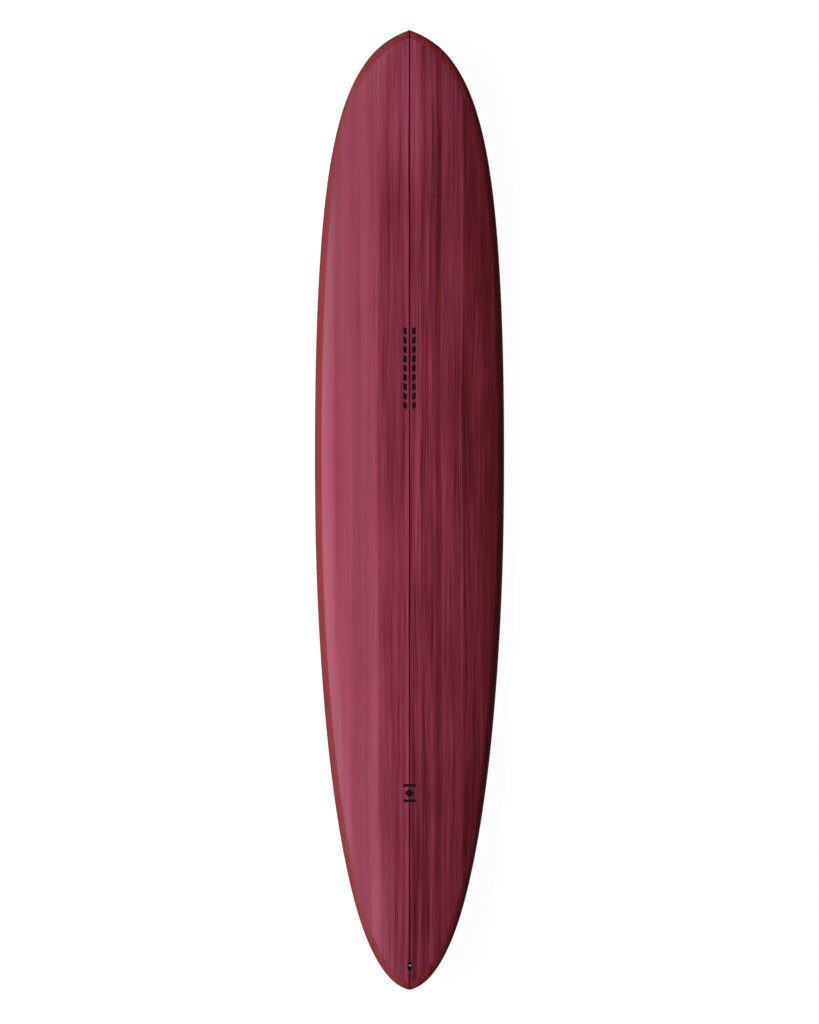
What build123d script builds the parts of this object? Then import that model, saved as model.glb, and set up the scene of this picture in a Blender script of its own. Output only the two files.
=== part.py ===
from build123d import *
import math
import os

from scipy.interpolate import CubicSpline

# Longboard surfboard, 9 ft. Millimetres. +Y points to the nose, +X to the right rail, +Z out of the deck.
# The origin is on the stringer, midway between the tips, at the lowest point of the bottom.

LENGTH = 2743.0
STRINGER_WIDTH = 4.0
SKIN = 2.0  # veneer and glass over the foam
BAND_SIDE = 20.5  # how far the rail lap comes in over the deck and the bottom
BAND_TIP = 23.5  # the same at the nose and at the tail
BAND_BLEND = 8  # how sharply the lap widens towards the tips

# Shaper's template: distance from the tail, half width, rise of the bottom, thickness at the stringer.
TEMPLATE = [
    (0, 8, 106, 9),
    (6, 24, 103.5, 13.5),
    (20, 45, 98.8, 17.6),
    (70, 87.5, 87, 26.3),
    (152, 128.5, 72.5, 36),
    (305, 174.5, 51.5, 48),
    (610, 227.5, 23, 61),
    (914, 256.5, 7.6, 67),
    (1219, 272, 0.9, 70),
    (1524, 276, 0.2, 70),
    (1829, 272.5, 5.6, 68.5),
    (2134, 257.5, 21, 62),
    (2286, 242.5, 33.5, 55),
    (2438, 216.5, 51, 46),
    (2591, 166, 76, 34),
    (2680, 106.5, 95, 24.5),
    (2725, 47, 109, 16.5),
    (2738, 17.5, 115, 11.5),
    (LENGTH, 3.5, 118.5, 7),
]

# Cross section: each half is a flattened superellipse that meets the other at the rail's widest line.
RAIL_HEIGHT = 0.42  # height of the widest line as a share of the thickness
DECK_FLATNESS = 3.2
BOTTOM_FLATNESS = 10
SECTIONS = 26
POINTS_PER_QUARTER = 6

# Centre fin box, in the bottom's own plane: a channel with side grooves for a sliding plate.
CENTRE_BOX_AT = 291.5  # distance of its middle from the tail
CENTRE_BOX_LENGTH = 250.0
CENTRE_BOX_WIDTH = 24.0
CENTRE_BOX_DEPTH = 25.4
CENTRE_BOX_CORNER = 3.0
CHANNEL_LENGTH = 240.0
CHANNEL_WIDTH = 9.5
CHANNEL_DEPTH = 19.0
CHANNEL_CORNER = 1.5
GROOVE_WIDTH = 13.4
GROOVE_TOP = 5.0  # thickness of the lips over the grooves
GROOVE_HEIGHT = 3.6
NOTCH_DIAMETER = 14.0  # round gap in the lips where the plate drops in
PLATE_WIDTH = 12.8
PLATE_LENGTH = 9.0
PLATE_THICKNESS = 3.2
PLATE_HOLE_RADIUS = 2.0
PLATE_END_GAP = 0.3
PLATE_EDGE_CHAMFER = 0.4

# Side fin boxes: a long front slot and a short rear slot in line, and two inclined clamp screws.
SIDE_BOXES = {"front": (492.0, 163.0, 1.1), "rear": (332.5, 133.0, 0.7)}  # from tail, off stringer, toe-in
FRONT_SLOT = 39.3
REAR_SLOT = 29.0
SLOT_GAP = 15.2
SLOT_WIDTH = 5.2
SLOT_DEPTH = 18.0
SLOT_LIP = 0.7
BOX_WALL = 4.0
BOX_WIDTH = 14.0
BOX_FLOOR = 2.5
BOX_CORNER = 3.0
SCREWS = {"front": (28.5, -12.0), "rear": (-34.0, 12.0)}  # along the box, outboard of its slots
SCREW_TILT = 38.0
SCREW_RADIUS = 3.0
SCREW_LENGTH = 7.5
SCREW_SUNK = 3.6  # along its axis, below the bottom
SCREW_CLEARANCE = 0.05
SCREW_CHAMFER = 0.5
SOCKET_ACROSS_FLATS = 3.0
SOCKET_DEPTH = 3.5
TOWER_RADIUS = 5.3
TOWER_LENGTH = 15.0
SCREW_LIP = 0.7
SCREW_LIP_LENGTH = 10.0
ROLLER_RADIUS = 2.5
ROLLER_LENGTH = 9.0
ROLLER_FROM_END = 6.8
ROLLER_DEPTH = 7.0
ROLLER_TRAVEL = 1.5
ROLLER_CLEARANCE = 0.06
ROLLER_CHAMFER = 0.3

# Leash plug: an oval cup in the deck with a steel pin across it.
LEASH_AT = 67.5  # distance from the tail
CUP_LENGTH = 25.5
CUP_WIDTH = 11.5
CUP_WALL = 1.0
CUP_FLANGE = 2.0  # how far the cup's body swells under the skin
CUP_DEPTH = 14.0
CUP_FLOOR = 2.0
LEASH_PIN_RADIUS = 2.0
LEASH_PIN_LENGTH = 13.5
LEASH_PIN_DEPTH = 4.4

PROUD = 6.0  # how far cutting shapes stand out of the surface
TAIL_REGION = 640.0  # stretch from the tail that holds every fitting
REACH = 2 * LENGTH  # larger than the board in every direction


def station(distance):
    """Share of the way round from tail to nose, which runs evenly round a rounded tip."""
    return math.acos(1 - 2 * distance / LENGTH) / math.pi


STATIONS = [station(row[0]) for row in TEMPLATE]


def template_curve(column):
    """Smooth curve through one column of the template, leaving each tip at its first row's slope."""
    values = [row[column] for row in TEMPLATE]
    tail_slope = (values[1] - values[0]) / (STATIONS[1] - STATIONS[0])
    nose_slope = (values[-1] - values[-2]) / (STATIONS[-1] - STATIONS[-2])
    return CubicSpline(STATIONS, values, bc_type=((1, tail_slope), (1, nose_slope)))


HALF_WIDTH = template_curve(1)
RISE = template_curve(2)
THICKNESS = template_curve(3)
LOWEST = min(float(RISE(i / 1000)) for i in range(1001))


def distance_at(share):
    return LENGTH * (1 - math.cos(math.pi * share)) / 2


def outline_point(share, inset):
    """Distance from the tail and half width of the outline, moved in along its normal."""
    along = LENGTH * math.pi / 2 * math.sin(math.pi * share)
    across = float(HALF_WIDTH(share, 1))
    size = math.hypot(along, across)
    return distance_at(share) + inset * across / size, float(HALF_WIDTH(share)) - inset * along / size


def profile(distance, half_width, inset, angle, side):
    """Height at half_width * sin(angle) on the deck (side 1) or the bottom (side -1)."""
    share = station(distance)
    low = float(RISE(share)) - LOWEST + inset
    thickness = float(THICKNESS(share)) - 2 * inset
    waist = low + RAIL_HEIGHT * thickness
    height, flatness = waist - low, BOTTOM_FLATNESS
    if side > 0:
        height, flatness = low + thickness - waist, DECK_FLATNESS
    return waist + side * height * math.sqrt(max(0.0, 1 - math.sin(angle) ** flatness))


def section(share, inset):
    """Closed outline of the board across one station, as a right and a left curve."""
    distance, half_width = outline_point(share, inset)
    quarter = [math.pi / 2 * i / POINTS_PER_QUARTER for i in range(POINTS_PER_QUARTER + 1)]
    path = [(angle, -1) for angle in quarter] + [(angle, 1) for angle in reversed(quarter[:-1])]
    right = [
        Vector(half_width * math.sin(a), distance - LENGTH / 2, profile(distance, half_width, inset, a, side))
        for a, side in path
    ]
    left = [Vector(-p.X, p.Y, p.Z) for p in reversed(right)]
    flat = Vector(1, 0, 0)
    ends = [(right, [flat, -flat]), (left, [-flat, flat])]
    return Wire([Edge.make_spline(points, tangents=tangents) for points, tangents in ends])


def board(inset):
    """The whole board's shape, or the same shape a skin's thickness further in."""
    return Solid.make_loft([section(i / (SECTIONS - 1), inset) for i in range(SECTIONS)])


def panel_prism():
    """Upright block inside the rail lap, on the right of the stringer's middle."""
    points = []
    for i in range(SECTIONS):
        share = i / (SECTIONS - 1)
        lap = BAND_SIDE + (BAND_TIP - BAND_SIDE) * math.cos(math.pi * share) ** BAND_BLEND
        distance, half_width = outline_point(share, lap)
        points.append((half_width, distance - LENGTH / 2))
    first, last = points[0], points[-1]
    edge = Spline(*points) + Polyline(first, (0, first[1]), (0, last[1]), last)
    return Pos(0, 0, -LENGTH / 2) * extrude(make_face(edge), LENGTH)


def surface_frame(distance, offset, side, toe=0.0):
    """Plane on the deck (side 1) or bottom (side -1): X to the nose with toe-in, Z out of the board."""

    def at(d):
        half_width = float(HALF_WIDTH(station(d)))
        return Vector(offset, d - LENGTH / 2, profile(d, half_width, 0, math.asin(offset / half_width), side))

    along = (at(distance + 1) - at(distance - 1)).normalized()
    out = Vector(0, -along.Z, along.Y) * side
    ahead = Vector(-math.sin(math.radians(toe)), 0, 0) + along * math.cos(math.radians(toe))
    return Plane(origin=at(distance), x_dir=ahead, z_dir=out)


def block(length, width, corner, top, bottom, x=0.0):
    """Upright block with rounded corners between two heights."""
    return Pos(x, 0, bottom) * extrude(RectangleRounded(length, width, corner), top - bottom)


def stadium(length, width, top, bottom, x=0.0):
    return Pos(x, 0, bottom) * extrude(SlotOverall(length, width), top - bottom)


def centre_box_shapes():
    """The box's outside and everything that is hollow in it, in the bottom's plane."""
    outside = block(CENTRE_BOX_LENGTH, CENTRE_BOX_WIDTH, CENTRE_BOX_CORNER, PROUD, -CENTRE_BOX_DEPTH)
    hollow = block(CHANNEL_LENGTH, CHANNEL_WIDTH, CHANNEL_CORNER, PROUD, -CHANNEL_DEPTH)
    hollow += block(CHANNEL_LENGTH, GROOVE_WIDTH, CHANNEL_CORNER, -GROOVE_TOP, -GROOVE_TOP - GROOVE_HEIGHT)
    hollow += Pos(0, 0, -GROOVE_TOP) * Cylinder(
        NOTCH_DIAMETER / 2, PROUD + GROOVE_TOP, align=(Align.CENTER, Align.CENTER, Align.MIN)
    )
    return outside, hollow


def fin_plate():
    """Sliding threaded plate at the tail end of the channel."""
    middle = -GROOVE_TOP - GROOVE_HEIGHT / 2
    start = -CHANNEL_LENGTH / 2 + PLATE_END_GAP + PLATE_LENGTH / 2
    plate = Box(PLATE_LENGTH, PLATE_WIDTH, PLATE_THICKNESS)
    plate = chamfer(plate.edges().filter_by(Axis.Z), CHANNEL_CORNER)
    plate = chamfer(plate.faces().sort_by(Axis.Z)[-1].edges(), PLATE_EDGE_CHAMFER)
    return Pos(start, 0, middle) * (plate - Cylinder(PLATE_HOLE_RADIUS, 2 * PLATE_THICKNESS))


def slots():
    """Length and middle of the front and the rear slot along a side box."""
    total = FRONT_SLOT + SLOT_GAP + REAR_SLOT
    return (FRONT_SLOT, (total - FRONT_SLOT) / 2), (REAR_SLOT, (REAR_SLOT - total) / 2)


def screw_frame(x, y):
    """Frame on a clamp screw's axis: Z runs out of the bottom, leaning away from the slots."""
    lean = math.radians(SCREW_TILT)
    side = math.copysign(1, y)
    return Plane(origin=(x, y, 0), x_dir=(1, 0, 0), z_dir=(0, side * math.sin(lean), math.cos(lean)))


def rod(radius, top, bottom):
    return Pos(0, 0, bottom) * Cylinder(radius, top - bottom, align=(Align.CENTER, Align.CENTER, Align.MIN))


def roller_place():
    rear_length, rear_middle = slots()[1]
    return rear_middle + rear_length / 2 - ROLLER_FROM_END


def side_box_shapes():
    """Buried body, lips that show in the bottom, and hollows of one side fin box, in its own plane."""
    total = FRONT_SLOT + SLOT_GAP + REAR_SLOT
    buried = block(total + 2 * BOX_WALL, BOX_WIDTH, BOX_CORNER, PROUD, -SLOT_DEPTH - BOX_FLOOR)
    lips, hollow = None, None
    for length, x in slots():
        lip = stadium(length + 2 * SLOT_LIP, SLOT_WIDTH + 2 * SLOT_LIP, PROUD, -2 * SKIN, x)
        gap = stadium(length, SLOT_WIDTH, PROUD, -SLOT_DEPTH, x)
        lips = lip if lips is None else lips + lip
        hollow = gap if hollow is None else hollow + gap
    for x, y in SCREWS.values():
        frame = screw_frame(x, y)
        bore_end = -abs(y) / math.sin(math.radians(SCREW_TILT))
        buried += frame * rod(TOWER_RADIUS, PROUD, -TOWER_LENGTH)
        lips += frame * rod(SCREW_RADIUS + SCREW_LIP, PROUD, -SCREW_LIP_LENGTH)
        hollow += frame * rod(SCREW_RADIUS + SCREW_CLEARANCE, PROUD, bore_end)
    room = 2 * (ROLLER_RADIUS + ROLLER_CLEARANCE)
    groove = Box(room + ROLLER_TRAVEL, ROLLER_LENGTH + 2 * ROLLER_CLEARANCE, room)
    hollow += Pos(roller_place() + ROLLER_TRAVEL / 2, 0, -ROLLER_DEPTH) * groove
    return buried, lips, hollow


def clamp_screw(x, y):
    """Headless screw with a hexagon socket, wound back clear of the slot."""
    body = chamfer(Cylinder(SCREW_RADIUS, SCREW_LENGTH).edges(), SCREW_CHAMFER)
    socket = RegularPolygon(SOCKET_ACROSS_FLATS / 2, 6, major_radius=False)
    body -= Pos(0, 0, SCREW_LENGTH / 2 - SOCKET_DEPTH) * extrude(socket, SOCKET_DEPTH)
    return screw_frame(x, y) * Pos(0, 0, -SCREW_SUNK - SCREW_LENGTH / 2) * body


def catch_roller():
    """Roller across the rear slot that the fin's tab pushes forward as it clips in."""
    body = chamfer(Cylinder(ROLLER_RADIUS, ROLLER_LENGTH).edges(), ROLLER_CHAMFER)
    return Pos(roller_place(), 0, -ROLLER_DEPTH) * Rot(90, 0, 0) * body


def leash_shapes():
    """Buried body, lip and hollow of the leash cup, in the deck's plane."""
    swell = 2 * CUP_FLANGE
    buried = stadium(CUP_LENGTH + swell, CUP_WIDTH + swell, PROUD, -CUP_DEPTH - CUP_FLOOR)
    lip = stadium(CUP_LENGTH, CUP_WIDTH, PROUD, -2 * SKIN)
    hollow = stadium(CUP_LENGTH - 2 * CUP_WALL, CUP_WIDTH - 2 * CUP_WALL, PROUD, -CUP_DEPTH)
    return buried, lip, hollow


def leash_pin():
    body = Cylinder(LEASH_PIN_RADIUS, LEASH_PIN_LENGTH)
    return Pos(0, 0, -LEASH_PIN_DEPTH) * Rot(90, 0, 0) * body


def mirrored(shape):
    return mirror(shape, about=Plane.YZ)


def solid_of(shape):
    """The one solid in a result, or the largest if slivers came with it."""
    return max(shape.solids(), key=lambda s: s.volume)


def build():
    parts = {}
    outer, inner = board(0), board(SKIN)
    tail = Pos(0, (TAIL_REGION - LENGTH) / 2, 0) * Box(REACH, TAIL_REGION + PROUD, REACH)
    tail_outer, tail_inner = outer & tail, inner & tail
    right = Pos(STRINGER_WIDTH / 2 + REACH / 2, 0, 0) * Box(REACH, REACH, REACH)
    skin = (outer & right) - inner
    prism = panel_prism()
    panels = sorted((skin & prism).solids(), key=lambda s: s.volume)[-2:]
    bottom, deck = sorted(panels, key=lambda s: s.center().Z)

    centre = surface_frame(CENTRE_BOX_AT, 0, -1)
    well, hollow = (centre * shape for shape in centre_box_shapes())
    parts["centre_fin_box"] = (tail_outer & well) - hollow
    parts["fin_plate"] = centre * fin_plate()

    leash = surface_frame(LEASH_AT, 0, 1)
    buried, lip, hollow = (leash * shape for shape in leash_shapes())
    cup_pocket = tail_inner & buried
    parts["leash_pin"] = leash * leash_pin()
    parts["leash_cup"] = (cup_pocket + (tail_outer & lip)) - [hollow, parts["leash_pin"]]

    pockets, openings = [well, cup_pocket], [well]
    for name, (distance, offset, toe) in SIDE_BOXES.items():
        frame = surface_frame(distance, offset, -1, toe)
        buried, lips, hollow = (frame * shape for shape in side_box_shapes())
        pocket = tail_inner & buried
        pockets.append(pocket)
        openings.append(lips)
        pieces = {"fin_box": (pocket + (tail_outer & lips)) - hollow, "catch_roller": frame * catch_roller()}
        for end, place in SCREWS.items():
            pieces[f"clamp_screw_{end}"] = frame * clamp_screw(*place)
        for key, piece in pieces.items():
            parts[f"{name}_{key}_right"] = piece
            parts[f"{name}_{key}_left"] = mirrored(piece)

    parts["stringer"] = (outer & Box(STRINGER_WIDTH, REACH, REACH)) - [well, cup_pocket, lip]
    halves = {
        "foam_core": (inner & right) - pockets,
        "deck_veneer": deck - lip,
        "bottom_veneer": bottom - openings,
        "rail_band": skin - prism,
    }
    for key, piece in halves.items():
        parts[f"{key}_right"] = solid_of(piece)
        parts[f"{key}_left"] = mirrored(solid_of(piece))
    return parts


if __name__ == "__main__":
    os.makedirs("parts", exist_ok=True)
    for node, shape in build().items():
        export_step(solid_of(shape), f"parts/{node}.step")
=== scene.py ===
import bmesh
import bpy
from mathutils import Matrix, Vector
from mathutils.bvhtree import BVHTree


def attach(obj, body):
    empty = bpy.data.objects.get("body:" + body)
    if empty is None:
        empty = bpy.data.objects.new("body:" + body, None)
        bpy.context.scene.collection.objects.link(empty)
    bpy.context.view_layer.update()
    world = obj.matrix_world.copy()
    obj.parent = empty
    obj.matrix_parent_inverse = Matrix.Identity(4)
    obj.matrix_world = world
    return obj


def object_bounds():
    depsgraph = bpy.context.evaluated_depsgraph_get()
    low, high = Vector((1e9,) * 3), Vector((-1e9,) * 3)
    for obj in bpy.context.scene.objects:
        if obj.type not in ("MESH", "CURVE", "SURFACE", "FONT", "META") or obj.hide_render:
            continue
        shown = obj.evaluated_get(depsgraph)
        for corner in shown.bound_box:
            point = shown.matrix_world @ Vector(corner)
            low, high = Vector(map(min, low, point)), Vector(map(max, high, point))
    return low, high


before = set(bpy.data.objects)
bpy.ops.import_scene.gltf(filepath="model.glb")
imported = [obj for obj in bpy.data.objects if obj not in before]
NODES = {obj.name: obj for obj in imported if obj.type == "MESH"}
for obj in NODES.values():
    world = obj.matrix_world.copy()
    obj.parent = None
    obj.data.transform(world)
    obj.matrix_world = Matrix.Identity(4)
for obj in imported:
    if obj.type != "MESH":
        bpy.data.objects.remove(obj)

# A longboard lying deck up. Metres: +Y to the nose, +X to the right rail, +Z out of the deck.

CAD_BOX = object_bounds()
MM = 0.001
SEED_SKEW = 2.7  # keeps a noise's shift along Y apart from its shift along X

# ---------------------------------------------------------------- node trees


def new_material(name):
    material = bpy.data.materials.new(name)
    material.use_nodes = True
    tree = material.node_tree
    return material, tree, tree.nodes["Principled BSDF"]


def add(tree, kind, inputs=(), **settings):
    """A shader node with its settings and its inputs, which are values or other nodes' sockets."""
    node = tree.nodes.new("ShaderNode" + kind)
    for key, value in settings.items():
        setattr(node, key, value)
    for socket, value in dict(inputs).items():
        if isinstance(value, bpy.types.NodeSocket):
            tree.links.new(value, node.inputs[socket])
        else:
            node.inputs[socket].default_value = value
    return node


def calc(tree, operation, a, b=0.0, c=0.0, clamp=False):
    """The result of a maths node."""
    inputs = {0: a, 1: b, 2: c}
    return add(tree, "Math", inputs, operation=operation, use_clamp=clamp).outputs[0]


def place(tree):
    """The point's x, y and z in the board's frame, in metres."""
    split = add(tree, "SeparateXYZ", {0: add(tree, "TexCoord").outputs["Object"]})
    return split.outputs[0], split.outputs[1], split.outputs[2]


def noise(tree, point, seed, cells, detail=2.0, rough=0.5):
    """Noise from 0 to 1 at a point (x, y, z), with so many cells per metre along each axis."""
    scaled = {axis: calc(tree, "MULTIPLY", point[axis], count) for axis, count in enumerate(cells)}
    apart = (seed, SEED_SKEW * seed, -seed)
    shifted = add(tree, "VectorMath", {0: add(tree, "CombineXYZ", scaled).outputs[0], 1: apart})
    inputs = {"Vector": shifted.outputs[0], "Scale": 1.0, "Detail": detail, "Roughness": rough}
    return add(tree, "TexNoise", inputs).outputs["Fac"]


def product(tree, a, b, clamp=False):
    return calc(tree, "MULTIPLY", a, b, clamp=clamp)


def ramp(tree, value, stops):
    """A colour or grey ramp: stops are (position, grey or colour)."""
    node = add(tree, "ValToRGB", {0: value})
    band = node.color_ramp
    while len(band.elements) > 1:
        band.elements.remove(band.elements[-1])
    for i, (position, colour) in enumerate(stops):
        element = band.elements[0] if i == 0 else band.elements.new(position)
        element.position = position
        rgb = (colour,) * 3 if isinstance(colour, (int, float)) else colour
        element.color = (*rgb, 1.0)
    return node.outputs[0]


def blend(tree, factor, a, b):
    """Colour a, or colour b where the factor is 1."""
    node = add(tree, "Mix", {0: factor}, data_type="RGBA", clamp_factor=True)
    for socket, value in ((6, a), (7, b)):
        if isinstance(value, bpy.types.NodeSocket):
            tree.links.new(value, node.inputs[socket])
        else:
            node.inputs[socket].default_value = (*value, 1.0)
    return node.outputs[2]


def bump(tree, height, strength, distance):
    inputs = {"Strength": strength, "Distance": distance, "Height": height}
    return add(tree, "Bump", inputs).outputs[0]


def swing(tree, value, share, level):
    """A level moved up and down by a share of a noise about its middle."""
    return calc(tree, "MULTIPLY_ADD", calc(tree, "SUBTRACT", value, 0.5), share, level)


def wire(tree, shader, **inputs):
    """Sets a shader's inputs, which are named with underscores for spaces."""
    for key, value in inputs.items():
        socket = shader.inputs[key.replace("_", " ")]
        if isinstance(value, bpy.types.NodeSocket):
            tree.links.new(value, socket)
        else:
            socket.default_value = value


# ---------------------------------------------------------------- materials

RESIN_IOR = 1.5
GLOSS = 0.18  # roughness of the rubbed-down resin
RESIN_WAVE = 0.05, 4 * MM  # strength and height of the waves in the resin
UNDER_RESIN = 0.08  # what is left of a surface's own gloss under the resin
HALF_SPAN = 0.28  # the ramps across the board run from -HALF_SPAN to +HALF_SPAN
HALF_LENGTH = 1.40  # the ramps along it run from -HALF_LENGTH to +HALF_LENGTH

# A noise layer is its cells per metre (across, along and through the board), its detail and its roughness.

# Veneer
SLOW_WANDER = (3.0, 1.1, 0.0), 1.0
QUICK_WANDER = (9.0, 6.0, 0.0), 2.0
SLOW_SHIFT, QUICK_SHIFT = 0.016, 0.0022  # how far the grain wanders, in metres
BANDS = (22.0, 0.45, 0.0), 2.0
BAND_SHARE = 0.50
GRAIN = {  # each layer with its share of the tone
    "cloud": (((9.0, 2.6, 0.0), 3.0, 0.55), 0.50),
    "streak": (((85.0, 1.6, 0.0), 4.0, 0.70), 1.00),
    "fine": (((330.0, 3.6, 0.0), 3.0, 0.65), 1.00),
    "hair": (((1100.0, 7.0, 0.0), 2.0, 0.60), 0.45),
}
GRAIN_RELIEF = {"fine": 0.6, "hair": 0.4}
WOOD = [
    (0.00, (0.022, 0.0022, 0.004)),
    (0.22, (0.085, 0.0070, 0.013)),
    (0.45, (0.185, 0.0190, 0.042)),
    (0.65, (0.275, 0.0400, 0.078)),
    (0.85, (0.350, 0.0680, 0.118)),
    (1.00, (0.420, 0.0950, 0.155)),
]
WOOD_ROUGHNESS = [(0.3, 0.50), (0.7, 0.40)]
MINERAL = (0.030, 0.0035, 0.006)
MINERAL_SHARE = 0.85
MINERAL_LINES = (210.0, 2.2, 0.0), 2.0, 0.4
PORE = (0.05, 0.005, 0.010)
PORE_SHARE = 0.22
PORES = (1900.0, 42.0, 0.0), 1.0
BROWN = (0.135, 0.012, 0.010)
BROWNING = (30.0, 0.7, 0.0), 2.0
VENEER_RIPPLE = (16.0, 9.0, 0.0), 1.0

# Rail lap
LAP_RED = [(0.3, (0.200, 0.021, 0.030)), (0.7, (0.245, 0.028, 0.038))]
LAP_SPECK, LAP_GRAIN_AND_SHADE, LAP_THREAD = (0.15, 0.010, 0.012), (0.075, 0.006, 0.009), (0.36, 0.05, 0.07)
# Deep red: the painted shade at the rails, and the darker lap on the underside
LAP_DEEP = (0.06, 0.004, 0.006)
# Shares of the deep red (painted shade at both rails, most at the right) and, on the deck, of the dark
# grain showing through (real grain, and partly painted shade towards the right rail), by millimetres off
# the stringer
LAP_PAINTED_SHADE = [(-276, 0.26), (-225, 0.22), (-150, 0.0), (150, 0.0), (225, 0.35), (276, 0.45)]
LAP_GRAIN_AND_SHADE_SHOWN = [(-276, 0.10), (-100, 0.25), (100, 0.75), (276, 0.85)]
LAP_COAT = 0.4
LAP_DEEP_BELOW, LAP_GRAIN_BELOW = 0.38, 0.5  # shares of LAP_DEEP and LAP_GRAIN_AND_SHADE on the underside
FACING_UP, FACING_DOWN = (2.0, 0.1), (-2.0, -0.2)  # factor and offset that turn a normal's z into a share
LAP_POOLS = (9.0, 5.0, 9.0), 3.0
LAP_SPECKS = (420.0, 260.0, 420.0), 2.0
LAP_SPECK_SHARE = 0.22
LAP_GRAIN_LAYER = (240.0, 3.0, 0.0), 3.0, 0.65
CLOTH_CELLS = 190.0
CLOTH_SHARE = 0.07

# Stringer, foam and ink
STRINGER_GRAIN = (1500.0, 6.0, 300.0), 3.0
STRINGER_WOOD = [(0.3, (0.016, 0.0008, 0.0015)), (0.7, (0.042, 0.0022, 0.004))]
STRINGER_COAT = 0.5
BEADS_PER_METRE = 900.0
FOAM_SHADE = (30.0, 30.0, 30.0), 4.0
FOAM_COLOURS = [(0.3, (0.74, 0.70, 0.60)), (0.7, (0.83, 0.80, 0.71))]
INK_MOTTLE = (700.0, 700.0, 700.0), 3.0, 0.6
INK_COAT = 0.6

# Plastic and metal
LEATHERY = (2400.0, 2400.0, 2400.0), 3.0
RUBBED_PATCHES = (180.0, 180.0, 180.0), 4.0, 0.65
# Painted highlight beside the centre box's channel, standing for light caught on its chamfered edges: its
# grey and its fade
HIGHLIGHT_GREY = (0.045, 0.050, 0.065)
HIGHLIGHT_FADE = [(0.0, 0.0), (0.08, 1.0), (0.4, 0.8), (1.0, 0.0)]
RUBBED_SMOOTHER = 0.12
CHANNEL_HIGHLIGHT = 4.8 * MM, 6.6 * MM  # where the painted highlight lies, from the edge of the centre channel outwards
SATIN = 0.55  # metallic share of satin stainless steel
TURNED_CELLS = (900.0, 900.0, 900.0)
PLATE_CELLS = (300.0, 1800.0, 300.0)
PIN_CELLS = (300.0, 1800.0, 1800.0)
TARNISH = (260.0, 260.0, 260.0), 4.0, 0.6
TOOL_MARKS_ROUGHER = 0.14


def across(tree, x, stops):
    """A ramp across the board, with stops as (millimetres off the stringer, value)."""
    span = add(tree, "MapRange", {0: x, 1: -HALF_SPAN, 2: HALF_SPAN, 3: 0.0, 4: 1.0}).outputs[0]
    return ramp(tree, span, [(0.5 + mm * MM / (2 * HALF_SPAN), v) for mm, v in stops])


def along(tree, y, stops):
    """A ramp along the board, with stops as (millimetres from the middle, value)."""
    span = add(tree, "MapRange", {0: y, 1: -HALF_LENGTH, 2: HALF_LENGTH, 3: 0.0, 4: 1.0}).outputs[0]
    return ramp(tree, span, [(0.5 + mm * MM / (2 * HALF_LENGTH), v) for mm, v in stops])


def coat(tree, shader, weight, normal=None):
    """Clear gloss resin over a surface."""
    wire(tree, shader, Coat_Weight=weight, Coat_Roughness=GLOSS, Coat_IOR=RESIN_IOR)
    if normal:
        wire(tree, shader, Coat_Normal=normal)


def veneer(name, seed, tone, streaks, warmth, patches=()):
    """Red-stained wood veneer under clear gloss resin.

    The planks' tone, the streaks' strength and the brown warmth vary across the board. A patch is
    (stops across, stops along, how much lighter).
    """
    material, tree, shader = new_material(name)
    x, y, z = place(tree)
    slow = noise(tree, (x, y, z), seed + 1, *SLOW_WANDER)
    quick = noise(tree, (x, y, z), seed + 2, *QUICK_WANDER)
    u = swing(tree, quick, QUICK_SHIFT, swing(tree, slow, SLOW_SHIFT, x))
    wandered = (u, y, z)

    strength = across(tree, u, streaks)
    band = noise(tree, wandered, seed + 3, *BANDS)
    level = swing(tree, band, BAND_SHARE, across(tree, u, tone))
    for stops_across, stops_along, lighter in patches:
        where = product(tree, across(tree, u, stops_across), along(tree, y, stops_along))
        level = calc(tree, "MULTIPLY_ADD", where, lighter, level)
    grain = {}
    for step, (key, (layer, share)) in enumerate(GRAIN.items()):
        grain[key] = noise(tree, wandered, seed + 4 + step, *layer)
        level = swing(tree, grain[key], product(tree, strength, share), level)
    colour = ramp(tree, level, WOOD)

    # dark mineral lines, gathered where the streaks are strong
    line = ramp(tree, noise(tree, wandered, seed + 8, *MINERAL_LINES), [(0.33, 1.0), (0.39, 0.0)])
    gathered = product(tree, strength, MINERAL_SHARE)
    colour = blend(tree, product(tree, line, gathered, clamp=True), colour, MINERAL)
    pore = ramp(tree, noise(tree, wandered, seed + 9, *PORES), [(0.26, 1.0), (0.36, 0.0)])
    colour = blend(tree, product(tree, pore, PORE_SHARE), colour, PORE)
    brown = product(tree, across(tree, u, warmth), noise(tree, wandered, seed + 10, *BROWNING))
    colour = blend(tree, brown, colour, BROWN)

    relief = calc(tree, "ADD", *(product(tree, grain[key], share) for key, share in GRAIN_RELIEF.items()))
    ripple = noise(tree, (x, y, z), seed + 11, *VENEER_RIPPLE)
    wire(
        tree, shader, Base_Color=colour, Roughness=ramp(tree, grain["fine"], WOOD_ROUGHNESS),
        Specular_IOR_Level=UNDER_RESIN, IOR=RESIN_IOR, Normal=bump(tree, relief, 0.15, 0.2 * MM),
    )
    coat(tree, shader, 1.0, bump(tree, ripple, *RESIN_WAVE))
    return material


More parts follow.
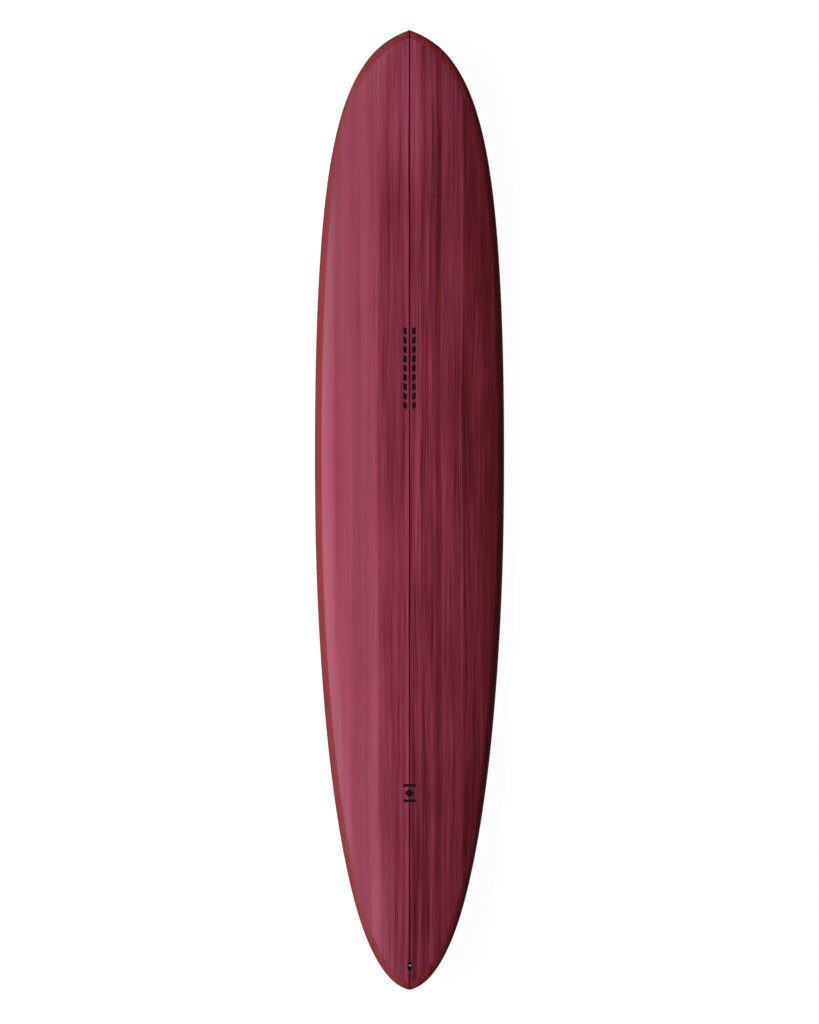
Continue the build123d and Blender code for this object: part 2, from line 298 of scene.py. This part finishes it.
def rail_lap():
    """Tinted glass lap over the foam: dark red with faint pooling, cloth and wood grain showing through,
    and painted shade towards the rails.
    """
    material, tree, shader = new_material("rail_lap_resin")
    x, y, z = place(tree)
    pooled = noise(tree, (x, y, z), 4.0, *LAP_POOLS)
    # Painted shade: the lap darkened towards both rails, most towards the right one
    colour = blend(tree, across(tree, x, LAP_PAINTED_SHADE), ramp(tree, pooled, LAP_RED), LAP_DEEP)
    speck = noise(tree, (x, y, z), 8.0, *LAP_SPECKS)
    colour = blend(tree, product(tree, speck, LAP_SPECK_SHARE), colour, LAP_SPECK)

    facing = add(tree, "SeparateXYZ", {0: add(tree, "NewGeometry").outputs["Normal"]}).outputs[2]
    on_deck = calc(tree, "MULTIPLY_ADD", facing, *FACING_UP, clamp=True)
    below = calc(tree, "MULTIPLY_ADD", facing, *FACING_DOWN, clamp=True)
    colour = blend(tree, product(tree, below, LAP_DEEP_BELOW), colour, LAP_DEEP)
    # On the deck, dark grain showing through, its share rising towards the right rail, where it is partly
    # painted shade
    shown = product(tree, across(tree, x, LAP_GRAIN_AND_SHADE_SHOWN), on_deck)
    shown = calc(tree, "MULTIPLY_ADD", below, LAP_GRAIN_BELOW, shown)
    through = ramp(tree, noise(tree, (x, y, z), 15.0, *LAP_GRAIN_LAYER), [(0.38, 1.0), (0.58, 0.0)])
    colour = blend(tree, product(tree, through, shown), colour, LAP_GRAIN_AND_SHADE)

    at = add(tree, "TexCoord").outputs["Object"]
    at = add(tree, "VectorMath", {0: at, 3: CLOTH_CELLS}, operation="SCALE").outputs[0]
    weave = {"Vector": at, "Scale": 1.0, "Distortion": 0.5}
    threads = [add(tree, "TexWave", weave, wave_type="BANDS", bands_direction=axis) for axis in "XY"]
    cloth = product(tree, *(thread.outputs["Fac"] for thread in threads))
    wire(
        tree, shader, Base_Color=blend(tree, product(tree, cloth, CLOTH_SHARE), colour, LAP_THREAD),
        Roughness=0.42, Specular_IOR_Level=UNDER_RESIN, Normal=bump(tree, cloth, 0.06, 0.2 * MM),
    )
    coat(tree, shader, LAP_COAT, bump(tree, pooled, *RESIN_WAVE))
    return material


def stringer_wood():
    """Dark stained wood, with its grain along the board."""
    material, tree, shader = new_material("stringer_wood")
    grain = noise(tree, place(tree), 3.0, *STRINGER_GRAIN)
    wire(
        tree, shader, Base_Color=ramp(tree, grain, STRINGER_WOOD), Roughness=0.45,
        Specular_IOR_Level=UNDER_RESIN, Normal=bump(tree, grain, 0.1, 0.2 * MM),
    )
    coat(tree, shader, STRINGER_COAT)
    return material


def moulded(name, dark, light, seed, rough=0.42, painted_highlight=None):
    """Moulded plastic: a fine leathery grain with rubbed patches.

    The last argument is the distances from the stringer where a painted highlight, standing for light
    caught on a chamfered edge, starts and fades out.
    """
    material, tree, shader = new_material(name)
    point = place(tree)
    skin = noise(tree, point, seed, *LEATHERY)
    rub = noise(tree, point, seed + 1, *RUBBED_PATCHES)
    colour = ramp(tree, rub, [(0.35, dark), (0.75, light)])
    # Painted highlight: a lighter grey band beside the centre channel, broken up by the patches
    if painted_highlight:
        off = {0: calc(tree, "ABSOLUTE", point[0]), 1: painted_highlight[0], 2: painted_highlight[1], 3: 0.0, 4: 1.0}
        highlight_across = ramp(tree, add(tree, "MapRange", off).outputs[0], HIGHLIGHT_FADE)
        highlight_share = product(tree, highlight_across, ramp(tree, rub, [(0.35, 0.35), (0.65, 1.0)]))
        colour = blend(tree, highlight_share, colour, HIGHLIGHT_GREY)
    wire(
        tree, shader, Base_Color=colour, Specular_IOR_Level=0.5,
        Roughness=ramp(tree, rub, [(0.3, rough), (0.7, rough - RUBBED_SMOOTHER)]),
        Normal=bump(tree, skin, 0.25, 0.1 * MM),
    )
    return material


def metal(name, dull, bright, seed, rough, cells=TURNED_CELLS):
    """Turned or drawn metal with fine tool marks and a little tarnish."""
    material, tree, shader = new_material(name)
    point = place(tree)
    marks = noise(tree, point, seed, cells, 3.0, 0.6)
    tarnish = noise(tree, point, seed + 1, *TARNISH)
    wire(
        tree, shader, Base_Color=ramp(tree, tarnish, [(0.35, dull), (0.6, bright)]), Metallic=SATIN,
        Roughness=ramp(tree, marks, [(0.3, rough + TOOL_MARKS_ROUGHER), (0.7, rough)]),
        Normal=bump(tree, marks, 0.12, 0.05 * MM),
    )
    return material


def foam():
    """Expanded bead foam."""
    material, tree, shader = new_material("foam_blank")
    at = add(tree, "TexCoord").outputs["Object"]
    beads = add(tree, "TexVoronoi", {"Vector": at, "Scale": BEADS_PER_METRE}).outputs["Distance"]
    shade = noise(tree, place(tree), 5.0, *FOAM_SHADE)
    wire(
        tree, shader, Base_Color=ramp(tree, shade, FOAM_COLOURS), Roughness=0.9,
        Normal=bump(tree, beads, 0.4, 0.5 * MM),
    )
    return material


def ink(name, dark, light, seed):
    """Screen-printed ink under the gloss resin: slightly mottled."""
    material, tree, shader = new_material(name)
    mottle = noise(tree, place(tree), seed, *INK_MOTTLE)
    wire(
        tree, shader, Base_Color=ramp(tree, mottle, [(0.35, dark), (0.7, light)]),
        Roughness=ramp(tree, mottle, [(0.3, 0.55), (0.7, 0.45)]), Specular_IOR_Level=0.05,
    )
    coat(tree, shader, INK_COAT)
    return material


# Tone (0 to 1 in WOOD), streak strength and brown warmth, each by millimetres off the stringer, and
# patches with their stops across and along the board.

DECK_TONE = [
    (-276, 0.52), (-235, 0.54), (-215, 0.55), (-190, 0.53), (-150, 0.54), (-112, 0.52), (-104, 0.60),
    (-90, 0.59), (-88, 0.45), (-60, 0.41), (-36, 0.45), (-14, 0.47), (-9, 0.60), (-3, 0.50), (3, 0.42),
    (22, 0.44), (30, 0.50), (34, 0.34), (50, 0.42), (60, 0.48), (74, 0.40), (80, 0.26), (90, 0.34),
    (92, 0.48), (120, 0.44), (140, 0.42), (150, 0.56), (153, 0.35), (180, 0.40), (215, 0.34), (276, 0.30),
]
DECK_STREAKS = [
    (-276, 0.08), (-150, 0.12), (-110, 0.18), (-88, 0.45), (-40, 0.60), (0, 0.65), (70, 0.80), (92, 0.45),
    (150, 0.60), (165, 0.95), (276, 0.80),
]
DECK_WARMTH = [(-276, 0.0), (60, 0.0), (80, 0.55), (92, 0.0), (150, 0.1), (170, 0.65), (276, 0.9)]
DECK_PATCHES = [
    (  # lighter nose
        [(-112, 0.0), (-84, 1.0), (30, 0.8), (60, 0.1), (90, 0.0)],
        [(850, 0.0), (1100, 1.0)],
        0.18,
    ),
    (  # lighter tail, left of the stringer
        [(-112, 0.0), (-90, 1.0), (-50, 0.6), (-10, 0.2), (0, 0.0)],
        [(-1150, 1.0), (-900, 0.0)],
        0.13,
    ),
    (  # darker aft, right of the stringer
        [(-2, 0.0), (8, 1.0), (40, 0.8), (60, 0.3), (130, 0.0)],
        [(-1200, 0.6), (-500, 1.0), (-100, 0.0)],
        -0.15,
    ),
]
BOTTOM_TONE = [
    (-276, 0.36), (-215, 0.42), (-188, 0.40), (-184, 0.50), (-155, 0.50), (-152, 0.36), (-142, 0.44),
    (-106, 0.46), (-102, 0.54), (-92, 0.52), (-90, 0.44), (-74, 0.46), (-70, 0.54), (-48, 0.53),
    (-42, 0.42), (-20, 0.38), (-14, 0.46), (-3, 0.44), (3, 0.52), (13, 0.50), (16, 0.36), (48, 0.38),
    (52, 0.50), (61, 0.48), (64, 0.40), (98, 0.42), (101, 0.53), (130, 0.50), (140, 0.55), (210, 0.52),
    (276, 0.46),
]
BOTTOM_STREAKS = [
    (-276, 0.50), (-180, 0.40), (-140, 0.65), (-70, 0.40), (-40, 0.95), (-14, 1.10), (0, 0.35), (60, 0.30),
    (110, 0.16), (276, 0.16),
]
BOTTOM_WARMTH = [
    (-276, 0.3), (-200, 0.05), (-60, 0.0), (-38, 0.25), (-20, 0.30), (-10, 0.0), (200, 0.05), (276, 0.2),
]
BOTTOM_PATCHES = [
    (  # darker aft, beside the stringer
        [(-60, 0.0), (-42, 0.7), (-20, 1.0), (-10, 0.3), (0, 0.0)],
        [(-1100, 1.0), (-700, 0.7), (-450, 0.0)],
        -0.09,
    ),
]

deck_wood = veneer("deck_veneer_wood", 11.0, DECK_TONE, DECK_STREAKS, DECK_WARMTH, DECK_PATCHES)
bottom_wood = veneer("bottom_veneer_wood", 47.0, BOTTOM_TONE, BOTTOM_STREAKS, BOTTOM_WARMTH, BOTTOM_PATCHES)
lap = rail_lap()
black_ink = ink("ink_black", (0.004, 0.0035, 0.004), (0.010, 0.008, 0.009), 1.0)
dark_ink = ink("ink_dark_grey", (0.030, 0.022, 0.022), (0.060, 0.048, 0.047), 4.0)
red_ink = ink("ink_red", (0.42, 0.012, 0.010), (0.55, 0.022, 0.018), 2.0)
grey_ink = ink("ink_grey", (0.40, 0.36, 0.35), (0.58, 0.54, 0.53), 3.0)

FINISHES = {
    "deck_veneer": deck_wood,
    "bottom_veneer": bottom_wood,
    "rail_band": lap,
    "stringer": stringer_wood(),
    "foam_core": foam(),
    # The centre box gets the painted highlight beside its channel
    "centre_fin_box": moulded(
        "centre_box_plastic", (0.003, 0.0035, 0.005), (0.010, 0.010, 0.013), 21.0, 0.34, CHANNEL_HIGHLIGHT
    ),
    "fin_box": moulded("side_box_plastic", (0.006, 0.006, 0.007), (0.016, 0.015, 0.016), 24.0),
    "leash_cup": moulded("leash_cup_plastic", (0.006, 0.006, 0.007), (0.018, 0.017, 0.018), 27.0),
    "catch_roller": moulded("roller_plastic", (0.17, 0.010, 0.012), (0.26, 0.018, 0.020), 30.0, 0.38),
    "clamp_screw": metal("screw_stainless", (0.33, 0.32, 0.31), (0.62, 0.61, 0.60), 33.0, 0.28),
    "fin_plate": metal("plate_stainless", (0.50, 0.48, 0.45), (0.80, 0.78, 0.75), 36.0, 0.30, PLATE_CELLS),
    "leash_pin": metal("pin_stainless", (0.52, 0.51, 0.50), (0.78, 0.77, 0.76), 39.0, 0.18, PIN_CELLS),
}
for node_name, node in NODES.items():
    finish = max((key for key in FINISHES if key in node_name), key=len)
    for slot in node.material_slots:
        slot.material = FINISHES[finish]

# ---------------------------------------------------------------- printed marks

INK_ABOVE = 0.12 * MM
INK_BELOW = 0.05 * MM
MARK_STEP = 2.5 * MM  # longest edge of a mark's mesh
CUT_TOLERANCE, MERGE_DISTANCE = 1e-7, 1e-6


def surface_tree(*nodes):
    """A search tree over the surfaces of some CAD nodes."""
    bm = bmesh.new()
    for node in nodes:
        bm.from_mesh(NODES[node].data)
    tree = BVHTree.FromBMesh(bm)
    bm.free()
    return tree


SURFACES = {
    1: surface_tree("deck_veneer_left", "deck_veneer_right", "stringer"),
    -1: surface_tree("bottom_veneer_left", "bottom_veneer_right", "stringer", "centre_fin_box"),
}


def on_surface(x, y, side):
    """The point and outward normal on the deck (side 1) or the bottom (side -1) at x, y."""
    hit, normal, _, _ = SURFACES[side].ray_cast(Vector((x, y, side)), Vector((0, 0, -side)))
    if normal.z * side < 0:
        normal = -normal
    return hit, normal


def mark(name, outlines, side, material):
    """Thin printed shapes that follow the board's surface. Outlines are convex, in metres."""
    bm = bmesh.new()
    for outline in outlines:
        face = bm.faces.new([bm.verts.new((x, y, 0.0)) for x, y in outline])
        for axis in (0, 1):
            low = min(p[axis] for p in outline)
            high = max(p[axis] for p in outline)
            cuts = int((high - low) / MARK_STEP)
            for i in range(1, cuts + 1):
                at, normal = [0, 0, 0], [0, 0, 0]
                at[axis], normal[axis] = low + (high - low) * i / (cuts + 1), 1
                geometry = [*bm.verts, *bm.edges, *bm.faces]
                bmesh.ops.bisect_plane(bm, geom=geometry, plane_co=at, plane_no=normal, dist=CUT_TOLERANCE)
    bmesh.ops.remove_doubles(bm, verts=bm.verts, dist=MERGE_DISTANCE)
    bmesh.ops.triangulate(bm, faces=bm.faces)
    for face in bm.faces:
        if face.normal.z * side < 0:
            face.normal_flip()
    for vert in bm.verts:
        hit, normal = on_surface(vert.co.x, vert.co.y, side)
        vert.co = hit - normal * INK_BELOW
    bm.normal_update()
    lifted = bmesh.ops.extrude_face_region(bm, geom=bm.faces[:])
    rise = Vector((0, 0, side * (INK_ABOVE + INK_BELOW)))
    raised = [item for item in lifted["geom"] if isinstance(item, bmesh.types.BMVert)]
    bmesh.ops.translate(bm, verts=raised, vec=rise)
    bmesh.ops.recalc_face_normals(bm, faces=bm.faces)
    mesh = bpy.data.meshes.new(name)
    bm.to_mesh(mesh)
    bm.free()
    mesh.materials.append(material)
    piece = bpy.data.objects.new(name, mesh)
    bpy.context.scene.collection.objects.link(piece)
    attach(piece, "board")


STRIPE_FROM, STRIPE_TO = 0.292, 0.533
STRIPE_INNER, STRIPE_OUTER = 7.4 * MM, 18.3 * MM
DASHES = 9
DASH_SHARE = 0.72
DASH_LEAN = 4 * MM


def dashes(side):
    """A row of slanted dashes along one side of the stringer."""
    pitch = (STRIPE_TO - STRIPE_FROM) / DASHES
    inner, outer = side * STRIPE_INNER, side * STRIPE_OUTER
    shapes = []
    for i in range(DASHES):
        low = STRIPE_FROM + i * pitch
        high = low + DASH_SHARE * pitch
        shapes.append([(inner, low), (outer, low + DASH_LEAN), (outer, high + DASH_LEAN), (inner, high)])
    return shapes


def box_outline(x0, x1, y0, y1):
    return [(x0, y0), (x1, y0), (x1, y1), (x0, y1)]


def diamond(y, half_width, half_length):
    return [(0, y - half_length), (half_width, y), (0, y + half_length), (-half_width, y)]


for side, deck in ((1, "deck"), (-1, "bottom")):
    for hand, word in ((1, "right"), (-1, "left")):
        mark(f"print_dashes_{deck}_{word}", dashes(hand), side, black_ink)

DECK_EMBLEM_Y, DECK_DIAMOND = -0.814, 14 * MM
EMBLEM_BAR_HALF, EMBLEM_BAR_REACH = 18 * MM, (18 * MM, 26 * MM)
BOTTOM_EMBLEM_Y, BOTTOM_DIAMOND = -0.799, (9 * MM, 13 * MM)
RED_BAR = (-9 * MM, 9 * MM, -0.828, -0.817)
GREY_BAR = (-13 * MM, 13 * MM, -1.2825, -1.2735)
DARK_WEDGE = [(-5 * MM, -1.286), (5 * MM, -1.286), (0, -1.301)]

emblem = [diamond(DECK_EMBLEM_Y, DECK_DIAMOND, DECK_DIAMOND)]
for way in (1, -1):
    low, high = sorted(DECK_EMBLEM_Y + way * reach for reach in EMBLEM_BAR_REACH)
    emblem.append(box_outline(-EMBLEM_BAR_HALF, EMBLEM_BAR_HALF, low, high))
mark("print_emblem_deck", emblem, 1, black_ink)
mark("print_emblem_bottom", [diamond(BOTTOM_EMBLEM_Y, *BOTTOM_DIAMOND)], -1, black_ink)
mark("print_bar_red", [box_outline(*RED_BAR)], -1, red_ink)
mark("print_bar_grey", [box_outline(*GREY_BAR)], -1, grey_ink)
mark("print_wedge_dark", [DARK_WEDGE], -1, dark_ink)

# ---------------------------------------------------------------- camera, light and floor

CAMERA_HEIGHT = 4.78
CAMERA_Y = -0.0045
LENS, SENSOR = 57.3, 36.0  # in millimetres

scene = bpy.context.scene
camera_data = bpy.data.cameras.new("camera")
camera_data.sensor_fit = "VERTICAL"
camera_data.sensor_height = SENSOR
camera_data.lens = LENS
camera = bpy.data.objects.new("camera", camera_data)
camera.location = (0, CAMERA_Y, CAMERA_HEIGHT)
scene.collection.objects.link(camera)
scene.camera = camera
scene.view_settings.view_transform = "Standard"


def soft_light(name, at, aim, size, power, diffuse=True, gloss=True):
    """A rectangular softbox, with its long side along the board."""
    data = bpy.data.lights.new(name, "AREA")
    data.shape = "RECTANGLE"
    data.size, data.size_y = size
    data.energy = power
    lamp = bpy.data.objects.new(name, data)
    lamp.location = at
    lamp.rotation_euler = (Vector(aim) - Vector(at)).to_track_quat("-Z", "Y").to_euler()
    lamp.visible_camera, lamp.visible_diffuse, lamp.visible_glossy = False, diffuse, gloss
    scene.collection.objects.link(lamp)


BOARD = (0, 0, 0.05)
# Name, place, aim, length and width, watts. The first group lights the colours, the second the sheen.
COLOUR_LIGHTS = [
    ("strip_left", (-1.50, 0, 1.40), BOARD, (4.0, 0.7), 100),
    ("fill_top", (0.2, 0, 3.5), BOARD, (5.0, 2.5), 14),
    ("under_left", (-0.6, 0, -2.4), BOARD, (5.0, 1.6), 116),
    ("rail_right", (2.2, 0, -0.25), (0.2, 0, 0.05), (4.0, 0.5), 8),
]
SHEEN_LIGHTS = [
    ("sheen_left", (-2.6, 0, 3.0), (-0.1, 0, 0.05), (6.0, 1.7), 26),
    ("sheen_near", (-0.80, 0, 3.0), (-0.1, 0, 0.05), (6.0, 0.9), 9),
    ("panel_left", (-4.5, 0, 1.3), BOARD, (7.0, 2.0), 14),
    ("under_panel_left", (-3.2, 0, -1.1), BOARD, (6.0, 1.2), 9),
    ("under_panel_right", (3.2, 0, -1.1), BOARD, (6.0, 1.2), 10),
    ("panel_nose", (-0.6, 5.0, 1.3), BOARD, (5.0, 2.0), 16),
    ("panel_tail", (-0.6, -5.0, 1.3), BOARD, (5.0, 2.0), 16),
]
for light in COLOUR_LIGHTS:
    soft_light(*light, gloss=False)
for light in SHEEN_LIGHTS:
    soft_light(*light, diffuse=False)

LIT_GREY = 0.02  # the world as a light
SEEN_GREY = 0.95  # the world as the camera sees it
world = bpy.data.worlds.new("studio")
scene.world = world
world.use_nodes = True
sky = world.node_tree
seen = add(sky, "LightPath").outputs["Is Camera Ray"]
sky.links.new(blend(sky, seen, (LIT_GREY,) * 3, (SEEN_GREY,) * 3), sky.nodes["Background"].inputs[0])

FLOOR_HALF = 12.0
FLOOR_GAP = 0.5 * MM
FLOOR_GLOW = 0.97
FLOOR_PAPER = (0.07, 0.07, 0.07, 1)
floor_mesh = bpy.data.meshes.new("floor")
corners = [(-1, -1), (1, -1), (1, 1), (-1, 1)]
floor_z = CAD_BOX[0][2] - FLOOR_GAP
floor_mesh.from_pydata([(x * FLOOR_HALF, y * FLOOR_HALF, floor_z) for x, y in corners], [], [(0, 1, 2, 3)])
floor = bpy.data.objects.new("floor", floor_mesh)
scene.collection.objects.link(floor)
floor.visible_diffuse = floor.visible_glossy = floor.visible_shadow = False
floor_material = bpy.data.materials.new("floor_pale")
floor_material.use_nodes = True
ground = floor_material.node_tree
ground.nodes.remove(ground.nodes["Principled BSDF"])
glow = add(ground, "Emission", {0: (1, 1, 1, 1), 1: FLOOR_GLOW})
paper = add(ground, "BsdfDiffuse", {0: FLOOR_PAPER})
lit = add(ground, "AddShader", {0: glow.outputs[0], 1: paper.outputs[0]})
clear = add(ground, "BsdfTransparent")
from_below = add(ground, "NewGeometry").outputs["Backfacing"]
ends = add(ground, "MixShader", {0: from_below, 1: lit.outputs[0], 2: clear.outputs[0]})
ground.links.new(ends.outputs[0], ground.nodes["Material Output"].inputs[0])
floor_mesh.materials.append(floor_material)
